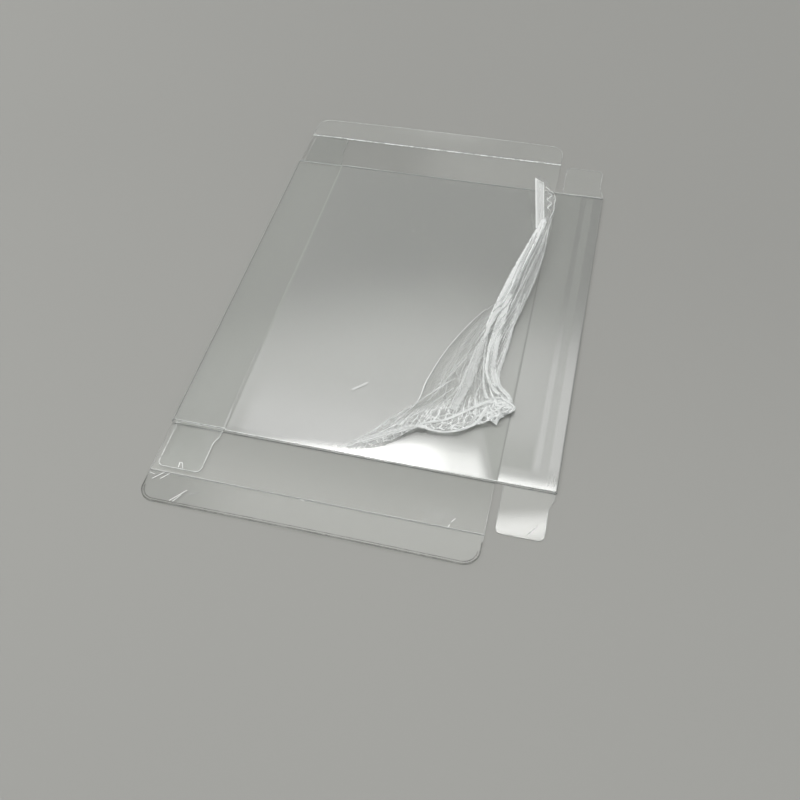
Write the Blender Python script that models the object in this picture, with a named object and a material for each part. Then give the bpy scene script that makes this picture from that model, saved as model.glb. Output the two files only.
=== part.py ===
"""Clear tuck-end box lying folded flat, with the protective film half peeled off its top panel."""
import math

import bmesh
import bpy

# The tube, flattened: a wide and a narrow panel in each layer. Metres, +Z up, tube along Y.
PANEL_WIDTH = 0.1365
PANEL_DEPTH = 0.0235
TUBE_LENGTH = 0.1755
SHEET = 0.00035
FOLD_GAP = 0.00075
TAB_GAP = 0.00045
SAG_GAP = 0.0004
TAB_WIDTH = 0.0108
TOP_EDGE_MARGIN = 0.0013
TAB_STAGGER = 0.0006
SCORE_DEPTH = 0.0001
SCORE_HALF_WIDTH = 0.0005
SCORE_FLANK = 0.003
PANEL_WAVE = 0.00005

# Where each panel's end stands back from the tube's nominal end.
DUST_SETBACK = 0.0010
TOP_SETBACK = 0.0002

# Flaps. A crease is a thin slot, and the hinge axis lies just outboard of it.
CREASE_SLOT = 0.0003
AXIS_OFFSET = 0.0004
TUCK_DEPTH = 0.0234
TUCK_SIDE_CLEARANCE = 0.0005
LIP_DEPTH = 0.0135
LIP_CORNER = 0.0065
LIP_LIFT = 0.0010
DUST_LENGTH = 0.0215
DUST_FOLD_INSET = 0.0029
DUST_OUTER_INSET = 0.0020
DUST_ROOT_INSET = 0.0004
SHOULDER_START = 0.0028
SHOULDER_END = 0.0072
DUST_CORNER = 0.0024

# Film: stuck down left of the peel front, gathered into pleats right of it.
FILM_THICKNESS = 0.00006
FILM_GAP = 0.0003
FILM_MARGIN = 0.0012
FILM_PLEAT_HEIGHT = 0.0028
FILM_LIFT_HEIGHT = 0.003
FILM_TIP_HEIGHT = 0.0105
FILM_CLUMP_HEIGHT = 0.0016
FILM_PLEAT_LEAN = 0.00022
FILM_PLEATS = 5.5
FILM_ROWS = 54
FILM_STUCK_COLUMNS = 4
FILM_PLEAT_COLUMNS = 44

SPAN = PANEL_WIDTH + PANEL_DEPTH
LEFT_RADIUS = SHEET + FOLD_GAP / 2
Z_LEFT_MID = SHEET + FOLD_GAP + SHEET / 2
Z_RIGHT_MID = SHEET + TAB_GAP + SHEET + SHEET / 2
Z_SAG_MID = SHEET + SAG_GAP + SHEET / 2


def clear_scene():
    for obj in list(bpy.data.objects):
        bpy.data.objects.remove(obj, do_unlink=True)
    for mesh in list(bpy.data.meshes):
        bpy.data.meshes.remove(mesh)
    for material in list(bpy.data.materials):
        bpy.data.materials.remove(material)


def make_material(name, color, alpha, roughness):
    material = bpy.data.materials.new(name)
    material.use_nodes = True
    shader = material.node_tree.nodes["Principled BSDF"]
    shader.inputs["Base Color"].default_value = (color[0], color[1], color[2], 1.0)
    shader.inputs["Alpha"].default_value = alpha
    shader.inputs["Roughness"].default_value = roughness
    shader.inputs["IOR"].default_value = 1.57
    material.diffuse_color = (color[0], color[1], color[2], alpha)
    return material


def smoothstep(t):
    t = min(1.0, max(0.0, t))
    return t * t * (3.0 - 2.0 * t)


def curve(points, t):
    """Smooth curve through rows of (parameter, value, value, ...), read at t."""
    last = len(points) - 1
    if t <= points[0][0]:
        return list(points[0][1:])
    if t >= points[last][0]:
        return list(points[last][1:])
    k = 0
    while points[k + 1][0] < t:
        k += 1
    before = points[max(k - 1, 0)]
    start = points[k]
    end = points[k + 1]
    after = points[min(k + 2, last)]
    step = end[0] - start[0]
    f = (t - start[0]) / step
    values = []
    for c in range(1, len(start)):
        slope_start = (end[c] - before[c]) / (end[0] - before[0]) * step
        slope_end = (after[c] - start[c]) / (after[0] - start[0]) * step
        a = 2 * start[c] - 2 * end[c] + slope_start + slope_end
        b = -3 * start[c] + 3 * end[c] - 2 * slope_start - slope_end
        values.append(((a * f + b) * f + slope_start) * f + start[c])
    return values


def top_mid(x, y):
    """Height of the top layer's middle. The narrow panel is level and the wide one dips between its folds."""
    if x <= PANEL_DEPTH:
        return Z_LEFT_MID
    t = min(1.0, (x - PANEL_DEPTH) / PANEL_WIDTH)
    straight = Z_LEFT_MID + (Z_RIGHT_MID - Z_LEFT_MID) * t
    dip = (Z_LEFT_MID + Z_RIGHT_MID) / 2 - Z_SAG_MID
    along = y / TUBE_LENGTH
    ripple = math.sin(7.0 * t + 5.0 * along) + 0.6 * math.sin(13.0 * along - 4.0 * t + 1.0)
    arch = math.sin(math.pi * t)
    return straight - dip * arch + PANEL_WAVE * arch * arch * ripple


def finish_mesh(name, bm, material, origin):
    """Sets the mesh's shading and places it with its origin at the given point of the row frame."""
    limit = math.radians(30.0)
    for edge in bm.edges:
        edge.smooth = edge.calc_face_angle(0.0) < limit
    for face in bm.faces:
        face.smooth = True
    shift = (-SPAN / 2, -TUBE_LENGTH / 2, 0.0)
    for vert in bm.verts:
        for c in range(3):
            vert.co[c] += shift[c] - origin[c]
    mesh = bpy.data.meshes.new(name)
    bm.to_mesh(mesh)
    bm.free()
    mesh.materials.append(material)
    obj = bpy.data.objects.new(name, mesh)
    obj.location = origin
    bpy.context.scene.collection.objects.link(obj)
    return obj


def spread(start, stop, count):
    return [start + (stop - start) * k / count for k in range(count + 1)]


def score_stations(center):
    return [center - SCORE_HALF_WIDTH, center, center + SCORE_HALF_WIDTH]


def sleeve_chains():
    """Outer and inner outline of the tube's cross-section, as (walk, x, height at y, setback) going bottom, right, top, left."""
    tab_x = SPAN - TAB_WIDTH
    edge_x = SPAN - TOP_EDGE_MARGIN
    tab_top = top_mid(edge_x, 0.0) - SHEET / 2
    right_radius = tab_top / 2
    bottom = sorted(
        spread(LEFT_RADIUS, PANEL_WIDTH - SCORE_FLANK, 8)
        + score_stations(PANEL_WIDTH)
        + spread(PANEL_WIDTH + SCORE_FLANK, SPAN - right_radius, 3)
    )
    top = sorted(
        spread(PANEL_DEPTH + SCORE_FLANK, tab_x - SCORE_FLANK, 14)
        + score_stations(PANEL_DEPTH)
        + spread(LEFT_RADIUS, PANEL_DEPTH - SCORE_FLANK, 3),
        reverse=True,
    )

    def at_crease(x, crease):
        return SCORE_DEPTH if abs(x - crease) < 1e-9 else 0.0

    def setback(x):
        return DUST_SETBACK if x < PANEL_DEPTH + 1e-9 else TOP_SETBACK

    def top_walk(x):
        return 1.51 + (SPAN - x) / SPAN

    def level(z):
        return lambda y: z

    def under(x, drop):
        return lambda y: top_mid(x, y) - drop

    outer = []
    inner = []
    for x in bottom:
        groove = at_crease(x, PANEL_WIDTH)
        outer.append((x / SPAN, x, level(groove), 0.0))
        inner.append((x / SPAN, x, level(SHEET + groove), 0.0))
    for k in range(1, 8):
        angle = -math.pi / 2 + math.pi * k / 8
        walk = 1.0 + 0.5 * k / 8
        back = TOP_SETBACK * k / 8
        for chain, radius in ((outer, right_radius), (inner, right_radius - SHEET)):
            x = SPAN - right_radius + radius * math.cos(angle)
            z = right_radius + radius * math.sin(angle)
            chain.append((walk, x, level(z), back))
    outer.append((1.5, SPAN - right_radius, level(tab_top), TOP_SETBACK))
    outer.append((1.502, edge_x, under(edge_x, SHEET / 2), TOP_SETBACK))
    inner.append((1.5, SPAN - right_radius, level(tab_top - SHEET), TOP_SETBACK))
    # Over the tab the sheet is double. The two cut edges of that stretch stand apart, so neither is on a line with a vertex across.
    for x in spread(edge_x, tab_x - TAB_STAGGER, 4):
        outer.append((top_walk(x), x, under(x, -SHEET / 2), TOP_SETBACK))
    for x in spread(edge_x - TAB_STAGGER, tab_x, 4):
        inner.append((top_walk(x), x, under(x, 1.5 * SHEET), TOP_SETBACK))
    inner.append((top_walk(tab_x - TAB_STAGGER / 4), tab_x, under(tab_x, SHEET / 2), TOP_SETBACK))
    for x in top:
        walk = top_walk(x)
        groove = at_crease(x, PANEL_DEPTH)
        outer.append((walk, x, under(x, groove - SHEET / 2), setback(x)))
        inner.append((walk, x, under(x, SHEET / 2 + groove), setback(x)))
    for k in range(1, 10):
        angle = math.pi / 2 + math.pi * k / 10
        walk = 2.6 + 0.4 * k / 10
        back = DUST_SETBACK * (1.0 - k / 10)
        for chain, radius in ((outer, LEFT_RADIUS), (inner, LEFT_RADIUS - SHEET)):
            x = LEFT_RADIUS + radius * math.cos(angle)
            z = LEFT_RADIUS + radius * math.sin(angle)
            chain.append((walk, x, level(z), back))
    return outer, inner


def sweep_chain(bm, chain, stations):
    """Rings of vertices along Y, one per station, and the skin between them."""
    rings = []
    for m in range(stations + 1):
        ring = []
        for walk, x, height, back in chain:
            y = back + (TUBE_LENGTH - 2 * back) * m / stations
            ring.append(bm.verts.new((x, y, height(y))))
        rings.append(ring)
    count = len(chain)
    for m in range(stations):
        for k in range(count):
            n = (k + 1) % count
            bm.faces.new((rings[m][k], rings[m][n], rings[m + 1][n], rings[m + 1][k]))
    return rings


def cap_between(bm, outer, inner, outer_ring, inner_ring):
    """Triangles across the sheet's cut end, walking both outlines together."""
    a = 0
    b = 0
    outer_walk = [p[0] for p in outer] + [3.0 + outer[0][0]]
    inner_walk = [p[0] for p in inner] + [3.0 + inner[0][0]]
    while a < len(outer) or b < len(inner):
        step_outer = b >= len(inner) or (a < len(outer) and outer_walk[a + 1] <= inner_walk[b + 1])
        first = outer_ring[a % len(outer)]
        second = inner_ring[b % len(inner)]
        if step_outer:
            a += 1
            bm.faces.new((first, outer_ring[a % len(outer)], second))
        else:
            b += 1
            bm.faces.new((first, inner_ring[b % len(inner)], second))


def build_sleeve(material):
    bm = bmesh.new()
    outer, inner = sleeve_chains()
    stations = 24
    outer_rings = sweep_chain(bm, outer, stations)
    inner_rings = sweep_chain(bm, inner, stations)
    for m in (0, stations):
        cap_between(bm, outer, inner, outer_rings[m], inner_rings[m])
    bmesh.ops.recalc_face_normals(bm, faces=bm.faces)
    if bm.calc_volume(signed=True) < 0:
        bmesh.ops.reverse_faces(bm, faces=bm.faces)
    return finish_mesh("sleeve", bm, material, (0.0, 0.0, 0.0))


def corner_inset(distance, end, radius):
    """How far a side has turned in at this distance, for a quarter-round corner that ends at the free edge."""
    into = distance - (end - radius)
    if into <= 0:
        return 0.0
    return radius - math.sqrt(max(0.0, radius * radius - into * into))


def grid_surface(bm, points):
    """A sheet of quads through a grid of points, facing up."""
    verts = [[bm.verts.new(point) for point in line] for line in points]
    for r in range(len(verts) - 1):
        for c in range(len(verts[0]) - 1):
            bm.faces.new((verts[r][c], verts[r][c + 1], verts[r + 1][c + 1], verts[r + 1][c]))
    bmesh.ops.recalc_face_normals(bm, faces=bm.faces)
    if sum(face.normal.z * face.calc_area() for face in bm.faces) < 0:
        bmesh.ops.reverse_faces(bm, faces=bm.faces)


def add_thickness(obj, thickness, offset):
    solidify = obj.modifiers.new("sheet_thickness", "SOLIDIFY")
    solidify.thickness = thickness
    solidify.offset = offset
    solidify.use_rim = True


def build_flap(name, side, rows, columns, z_low, rise, axis_distance, material):
    """A flap from rows of (distance outward from the tube's end, left x, right x). Side is -1 near and 1 far."""
    end = 0.0 if side < 0 else TUBE_LENGTH
    points = []
    for distance, left, right in rows:
        line = []
        for x in spread(left, right, columns):
            line.append((x, end + side * distance, z_low + rise(x, distance)))
        points.append(line)
    bm = bmesh.new()
    grid_surface(bm, points)
    origin = (0.0, end + side * axis_distance - TUBE_LENGTH / 2, z_low + SHEET / 2)
    obj = finish_mesh(name, bm, material, origin)
    add_thickness(obj, SHEET, 1.0)
    return obj


def no_rise(x, distance):
    return 0.0


def build_tuck_flap(name, side, material):
    left = TUCK_SIDE_CLEARANCE
    right = PANEL_WIDTH - TUCK_SIDE_CLEARANCE
    rows = [(CREASE_SLOT, left, right), (TUCK_DEPTH, left, right)]
    return build_flap(name, side, rows, 1, 0.0, no_rise, AXIS_OFFSET, material)


def build_tuck_lip(name, side, material):
    left = TUCK_SIDE_CLEARANCE
    right = PANEL_WIDTH - TUCK_SIDE_CLEARANCE
    root = TUCK_DEPTH + CREASE_SLOT
    end = root + LIP_DEPTH
    corner_start = end - LIP_CORNER
    distances = spread(root, corner_start, 4)
    for k in range(1, 11):
        distances.append(corner_start + LIP_CORNER * math.sin(math.pi / 2 * k / 10))
    rows = []
    for distance in distances:
        inset = corner_inset(distance, end, LIP_CORNER)
        rows.append((distance, left + inset, right - inset))

    def rise(x, distance):
        out = (distance - root) / LIP_DEPTH
        along = (x - left) / (right - left)
        return LIP_LIFT * out ** 1.4 * (0.35 + 0.65 * math.sin(math.pi * min(1.0, max(0.0, along))))

    return build_flap(name, side, rows, 20, 0.0, rise, TUCK_DEPTH + AXIS_OFFSET, material)


def build_dust_flap(name, side, panel_left, setback, z_low, material):
    """A dust flap, narrowed by a shoulder on the side away from the panel with the tuck flaps."""
    root = CREASE_SLOT - setback
    left = panel_left + DUST_FOLD_INSET
    right = panel_left + PANEL_DEPTH
    distances = [root, SHOULDER_START, SHOULDER_END]
    bend = (SHOULDER_END - SHOULDER_START) / 4
    for k in range(1, 4):
        distances.append(SHOULDER_START + bend * k)
    corner_start = DUST_LENGTH - DUST_CORNER
    distances += spread(SHOULDER_END, corner_start, 2)[1:]
    for k in range(1, 8):
        distances.append(corner_start + DUST_CORNER * math.sin(math.pi / 2 * k / 7))
    rows = []
    for distance in sorted(distances):
        shoulder = smoothstep((distance - SHOULDER_START) / (SHOULDER_END - SHOULDER_START))
        outer_inset = DUST_ROOT_INSET + (DUST_OUTER_INSET - DUST_ROOT_INSET) * shoulder
        turn = corner_inset(distance, DUST_LENGTH, DUST_CORNER)
        rows.append((distance, left + turn, right - outer_inset - turn))
    return build_flap(name, side, rows, 1, z_low, no_rise, AXIS_OFFSET - setback, material)


# Film outlines as (row, share of the wide panel's width from its score, share of the tube's length).
PEEL_FRONT = (
    (0.014, 0.358, 0.014),
    (0.052, 0.416, 0.052),
    (0.130, 0.485, 0.130),
    (0.166, 0.536, 0.166),
    (0.248, 0.552, 0.248),
    (0.364, 0.592, 0.364),
    (0.488, 0.664, 0.488),
    (0.542, 0.714, 0.542),
    (0.675, 0.748, 0.675),
    (0.824, 0.778, 0.824),
    (0.912, 0.755, 0.912),
    (0.989, 0.725, 0.989),
)
FREE_EDGE = (
    (0.014, 0.826, 0.189),
    (0.060, 0.836, 0.205),
    (0.110, 0.818, 0.234),
    (0.170, 0.785, 0.255),
    (0.260, 0.763, 0.300),
    (0.360, 0.768, 0.368),
    (0.480, 0.779, 0.442),
    (0.600, 0.803, 0.546),
    (0.720, 0.816, 0.644),
    (0.840, 0.833, 0.770),
    (0.930, 0.837, 0.884),
    (0.989, 0.830, 0.958),
)
HEM = (
    (0.00, 0.358, 0.014),
    (0.15, 0.421, 0.024),
    (0.30, 0.495, 0.051),
    (0.42, 0.565, 0.099),
    (0.52, 0.618, 0.105),
    (0.65, 0.678, 0.113),
    (0.78, 0.737, 0.138),
    (0.90, 0.785, 0.158),
    (1.00, 0.826, 0.189),
)
# Shares of the greatest pleat height and of the greatest lift, along the film.
PLEAT_SHARE = (
    (0.014, 0.25),
    (0.100, 0.40),
    (0.300, 0.50),
    (0.500, 0.78),
    (0.700, 1.00),
    (0.850, 0.86),
    (0.989, 0.22),
)
LIFT_SHARE = (
    (0.014, 0.33),
    (0.150, 0.67),
    (0.400, 0.87),
    (0.600, 1.00),
    (0.989, 1.00),
)
FAR_ROW = 0.989
NEAR_ROW = 0.014
TIP_ROW = 0.80


def film_outline(row, u):
    """Plan position as shares of panel and tube. Row is the share of the tube's length while stuck down, u goes from peel front to free edge."""
    front = curve(PEEL_FRONT, row)
    free = curve(FREE_EDGE, row)
    hem = curve(HEM, u)
    near = 1.0 - (row - NEAR_ROW) / (FAR_ROW - NEAR_ROW)
    share = []
    for c in range(2):
        straight = HEM[0][c + 1] + (HEM[-1][c + 1] - HEM[0][c + 1]) * u
        share.append(front[c] + (free[c] - front[c]) * u + near ** 9 * (hem[c] - straight))
    stand = smoothstep((row - TIP_ROW) / (FAR_ROW - TIP_ROW))
    bow = stand * math.sin(math.pi * u)
    return share[0] + 0.012 * bow, share[1] - 0.018 * bow, stand


def film_place(row, u):
    """A point of the gathered film: lifted off the panel as a bundle, pleated, and standing up as a folded tip at the far end."""
    across, along, stand = film_outline(row, u)
    wander = 0.045 * math.sin(5.0 * u + 7.0 * row) + 0.02 * math.sin(21.0 * row)
    phase = 2.0 * math.pi * FILM_PLEATS * (u + wander)
    clump = smoothstep((u - 0.78) / 0.12) * smoothstep((0.20 - row) / 0.12)
    height = FILM_PLEAT_HEIGHT * curve(PLEAT_SHARE, row)[0] + FILM_CLUMP_HEIGHT * clump
    uneven = 0.72 + 0.28 * math.sin(9.0 * u + 4.0 * row) * math.sin(17.0 * row + 3.0 * u)
    fade = smoothstep(u / 0.10)
    open_edge = 0.55 + 0.45 * smoothstep((1.0 - u) / 0.10)
    pleat = height * uneven * fade * open_edge * (0.5 - 0.5 * math.cos(phase))
    pleat += 0.25 * FILM_CLUMP_HEIGHT * clump * (0.5 + 0.5 * math.sin(130.0 * row + 20.0 * u))
    arch = math.sin(math.pi * min(1.0, u))
    lift = FILM_LIFT_HEIGHT * curve(LIFT_SHARE, row)[0] * arch ** 0.8
    tip = FILM_TIP_HEIGHT * stand * smoothstep(u / 0.20) * (1.0 - 0.62 * smoothstep((u - 0.45) / 0.55))
    lean = FILM_PLEAT_LEAN * fade * math.sin(phase) * (0.4 + 0.6 * row) * arch
    x = PANEL_DEPTH + across * PANEL_WIDTH + lean
    y = along * TUBE_LENGTH
    return x, y, film_floor(x, y) + pleat + lift + tip


def film_floor(x, y):
    return top_mid(x, y) + SHEET / 2 + FILM_GAP + FILM_THICKNESS


def build_film(material):
    left = PANEL_DEPTH + FILM_MARGIN
    points = []
    for row in spread(NEAR_ROW, FAR_ROW, FILM_ROWS):
        front = film_place(row, 0.0)
        stuck = spread(left, front[0], FILM_STUCK_COLUMNS)[:-1]
        line = [(x, front[1], film_floor(x, front[1])) for x in stuck]
        line += [film_place(row, u) for u in spread(0.0, 1.0, FILM_PLEAT_COLUMNS)]
        points.append(line)
    bm = bmesh.new()
    grid_surface(bm, points)
    obj = finish_mesh("protective_film", bm, material, (0.0, 0.0, 0.0))
    add_thickness(obj, FILM_THICKNESS, 0.0)
    return obj


def build():
    clear_scene()
    pet = make_material("clear_sheet", (0.86, 0.89, 0.88), 0.32, 0.06)
    film = make_material("clear_film", (0.94, 0.96, 0.96), 0.45, 0.22)
    build_sleeve(pet)
    build_tuck_flap("near_tuck_flap", -1, pet)
    build_tuck_flap("far_tuck_flap", 1, pet)
    build_tuck_lip("near_tuck_lip", -1, pet)
    build_tuck_lip("far_tuck_lip", 1, pet)
    top_low = Z_LEFT_MID - SHEET / 2
    build_dust_flap("near_left_dust_flap", -1, 0.0, DUST_SETBACK, top_low, pet)
    build_dust_flap("far_left_dust_flap", 1, 0.0, DUST_SETBACK, top_low, pet)
    build_dust_flap("near_right_dust_flap", -1, PANEL_WIDTH, 0.0, 0.0, pet)
    build_dust_flap("far_right_dust_flap", 1, PANEL_WIDTH, 0.0, 0.0, pet)
    build_film(film)


build()
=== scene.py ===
"""Clear folding box protector lying flat, its protective film half peeled off and gathered on top."""
import math

import bpy
from mathutils import Matrix, Vector, noise


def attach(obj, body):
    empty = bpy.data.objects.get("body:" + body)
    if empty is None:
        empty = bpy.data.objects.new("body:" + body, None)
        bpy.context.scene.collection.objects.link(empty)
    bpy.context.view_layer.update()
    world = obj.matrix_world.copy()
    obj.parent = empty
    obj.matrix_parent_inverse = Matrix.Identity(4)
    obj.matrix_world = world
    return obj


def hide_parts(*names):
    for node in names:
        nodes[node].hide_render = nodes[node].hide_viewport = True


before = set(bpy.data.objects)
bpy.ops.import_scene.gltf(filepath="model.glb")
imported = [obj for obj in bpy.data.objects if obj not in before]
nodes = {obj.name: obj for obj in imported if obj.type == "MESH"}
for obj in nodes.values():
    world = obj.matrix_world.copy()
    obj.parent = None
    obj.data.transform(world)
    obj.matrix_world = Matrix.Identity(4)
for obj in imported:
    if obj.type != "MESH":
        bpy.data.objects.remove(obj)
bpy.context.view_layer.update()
scene = bpy.context.scene

# Sizes repeated from the source, in metres; the tube's near left corner is at (-HALF_SPAN, -HALF_LENGTH).
PANEL_WIDTH = 0.1365
PANEL_DEPTH = 0.0235
TUBE_LENGTH = 0.1755
SHEET = 0.00035
PANEL_WAVE = 0.00005
Z_LEFT_MID = 0.001275
Z_RIGHT_MID = 0.000975
Z_SAG_MID = 0.000925
HALF_SPAN = (PANEL_WIDTH + PANEL_DEPTH) / 2
HALF_LENGTH = TUBE_LENGTH / 2
SCORE_LEFT = PANEL_DEPTH - HALF_SPAN
SCORE_RIGHT = PANEL_WIDTH - HALF_SPAN
FILM_THICKNESS = 0.00006
FILM_GAP = 0.0003
SLEEVE_TOP = SHEET / 2 + FILM_GAP + FILM_THICKNESS

SHEET_IOR = 1.57
FILM_IOR = 1.5

# Camera of the photograph, fitted to the corners of the flattened tube.
CAMERA_PLACE = Vector((0.071716, -0.266016, 0.289345))
CAMERA_TURN = Matrix(
    (
        (0.970876, -0.168978, 0.169840),
        (0.237042, 0.780441, -0.578552),
        (-0.034788, 0.601961, 0.797767),
    )
)
CAMERA_LENS = 38.878
SENSOR_WIDTH = 36.0
IMAGE_SIZE = 800.0
IMAGE_REACH = CAMERA_LENS / SENSOR_WIDTH * IMAGE_SIZE


def make_camera():
    data = bpy.data.cameras.new("camera")
    data.sensor_width = SENSOR_WIDTH
    data.lens = CAMERA_LENS
    data.clip_start = 0.01
    data.clip_end = 50.0
    obj = bpy.data.objects.new("camera", data)
    scene.collection.objects.link(obj)
    turn = CAMERA_TURN.to_quaternion().to_matrix().to_4x4()
    obj.matrix_world = Matrix.Translation(CAMERA_PLACE) @ turn
    scene.camera = obj


def at_pixel(px, py, z):
    """The point at height z that the photograph shows at a pixel."""
    middle = IMAGE_SIZE / 2
    ray = CAMERA_TURN @ Vector(((px - middle) / IMAGE_REACH, (middle - py) / IMAGE_REACH, -1.0))
    return CAMERA_PLACE + ray * ((z - CAMERA_PLACE.z) / ray.z)


def to_pixel(p):
    """Where the photograph shows a point."""
    rel = CAMERA_TURN.transposed() @ (Vector(p) - CAMERA_PLACE)
    return IMAGE_SIZE / 2 - IMAGE_REACH * rel.x / rel.z, IMAGE_SIZE / 2 + IMAGE_REACH * rel.y / rel.z


def smoothstep(t):
    t = min(1.0, max(0.0, t))
    return t * t * (3.0 - 2.0 * t)


def curve(points, t):
    """Smooth curve through rows of (parameter, value, value, ...), read at t."""
    last = len(points) - 1
    if t <= points[0][0]:
        return list(points[0][1:])
    if t >= points[last][0]:
        return list(points[last][1:])
    k = 0
    while points[k + 1][0] < t:
        k += 1
    before = points[max(k - 1, 0)]
    start = points[k]
    end = points[k + 1]
    after = points[min(k + 2, last)]
    step = end[0] - start[0]
    f = (t - start[0]) / step
    values = []
    for c in range(1, len(start)):
        slope_start = (end[c] - before[c]) / (end[0] - before[0]) * step
        slope_end = (after[c] - start[c]) / (after[0] - start[0]) * step
        a = 2 * start[c] - 2 * end[c] + slope_start + slope_end
        b = -3 * start[c] + 3 * end[c] - 2 * slope_start - slope_end
        values.append(((a * f + b) * f + slope_start) * f + start[c])
    return values


class Nodes:
    """Short ways to write a node tree."""

    def __init__(self, tree):
        self.tree = tree

    def add(self, kind, **settings):
        node = self.tree.nodes.new(kind)
        for key, value in settings.items():
            setattr(node, key, value)
        return node

    def put(self, socket, value):
        if isinstance(value, bpy.types.NodeSocket):
            self.tree.links.new(value, socket)
        else:
            socket.default_value = value

    def fill(self, node, **values):
        """Set or link the named sockets; an underscore in a name stands for a space."""
        for name, value in values.items():
            self.put(node.inputs[name.replace("_", " ")], value)
        return node

    def math(self, operation, a, b=0.0):
        node = self.add("ShaderNodeMath", operation=operation)
        self.put(node.inputs[0], a)
        self.put(node.inputs[1], b)
        return node.outputs[0]

    def plus(self, a, b):
        return self.math("ADD", a, b)

    def minus(self, a, b):
        return self.math("SUBTRACT", a, b)

    def times(self, a, b):
        return self.math("MULTIPLY", a, b)

    def vector(self, operation, a, b=(0.0, 0.0, 0.0), scale=None, output=0):
        node = self.add("ShaderNodeVectorMath", operation=operation)
        self.put(node.inputs[0], a)
        self.put(node.inputs[1], b)
        if scale is not None:
            self.put(node.inputs["Scale"], scale)
        return node.outputs[output]

    def parts(self, vector):
        """The x, y and z of a vector."""
        node = self.add("ShaderNodeSeparateXYZ")
        self.put(node.inputs[0], vector)
        return node.outputs

    def place(self, kind="Object"):
        return self.add("ShaderNodeTexCoord").outputs[kind]

    def attribute(self, name):
        return self.add("ShaderNodeAttribute", attribute_name=name).outputs["Fac"]

    def backfacing(self):
        return self.add("ShaderNodeNewGeometry").outputs["Backfacing"]

    def step(self, value, start, stop, low=0.0, high=1.0):
        """Smooth step of value from start to stop, mapped to low and high."""
        node = self.add("ShaderNodeMapRange", interpolation_type="SMOOTHSTEP")
        self.fill(node, Value=value, From_Min=start, From_Max=stop, To_Min=low, To_Max=high)
        return node.outputs["Result"]

    def between(self, value, start, full, last, stop):
        """1 from full to last, falling smoothly to 0 at start and stop."""
        return self.times(self.step(value, start, full), self.step(value, stop, last))

    def noise(self, vector, scale, detail=2.0, roughness=0.5, distortion=0.0, output="Fac"):
        node = self.add("ShaderNodeTexNoise")
        self.fill(node, Vector=vector, Scale=scale, Detail=detail, Roughness=roughness, Distortion=distortion)
        return node.outputs[output]

    def net(self, vector, scale):
        """Distance to the nearest line of an irregular net."""
        node = self.add("ShaderNodeTexVoronoi", feature="DISTANCE_TO_EDGE")
        return self.fill(node, Vector=vector, Scale=scale).outputs["Distance"]

    def bump(self, height, strength):
        return self.shader("ShaderNodeBump", Distance=1.0, Strength=strength, Height=height)

    def mix_colour(self, share, a, b):
        node = self.add("ShaderNodeMix", data_type="RGBA")
        for socket, value in ((node.inputs[0], share), (node.inputs[6], a), (node.inputs[7], b)):
            self.put(socket, value)
        return node.outputs[2]

    def mix_shader(self, share, a, b):
        node = self.add("ShaderNodeMixShader")
        self.put(node.inputs[0], share)
        self.tree.links.new(a, node.inputs[1])
        self.tree.links.new(b, node.inputs[2])
        return node.outputs[0]

    def shader(self, kind, **values):
        return self.fill(self.add(kind), **values).outputs[0]

    def slab(self, ior, back, **normal):
        """The share of light that the two faces of a thin sheet reflect between them."""
        ior = self.plus(ior, self.times(back, 1.0 / ior - ior))
        f = self.shader("ShaderNodeFresnel", IOR=ior, **normal)
        return self.math("DIVIDE", self.times(f, 2.0), self.plus(f, 1.0))

    def mark(self, place, start, stop, width):
        """1 on the thin line from start to stop, falling to 0 at width."""
        a = Vector(start)
        d = Vector(stop) - a
        rel = self.vector("SUBTRACT", place, a)
        along = self.vector("DOT_PRODUCT", rel, d / max(d.length_squared, 1e-12), output=1)
        along = self.math("MAXIMUM", self.math("MINIMUM", along, 1.0), 0.0)
        nearest = self.vector("SCALE", tuple(d), scale=along)
        away = self.vector("SUBTRACT", rel, nearest)
        flat = self.vector("MULTIPLY", away, (1.0, 1.0, 0.0))
        gap = self.vector("LENGTH", flat, output=1)
        return self.step(gap, width * 0.35, width, 1.0, 0.0)

    def show(self, shader):
        self.tree.links.new(shader, self.add("ShaderNodeOutputMaterial").inputs["Surface"])


def new_material(name):
    material = bpy.data.materials.new(name)
    material.use_nodes = True
    material.node_tree.nodes.clear()
    return material, Nodes(material.node_tree)


def grey(level, green=0.0, blue=0.0):
    """A colour near grey: its green and blue may differ a little."""
    return level, level + green, level + blue, 1.0


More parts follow.
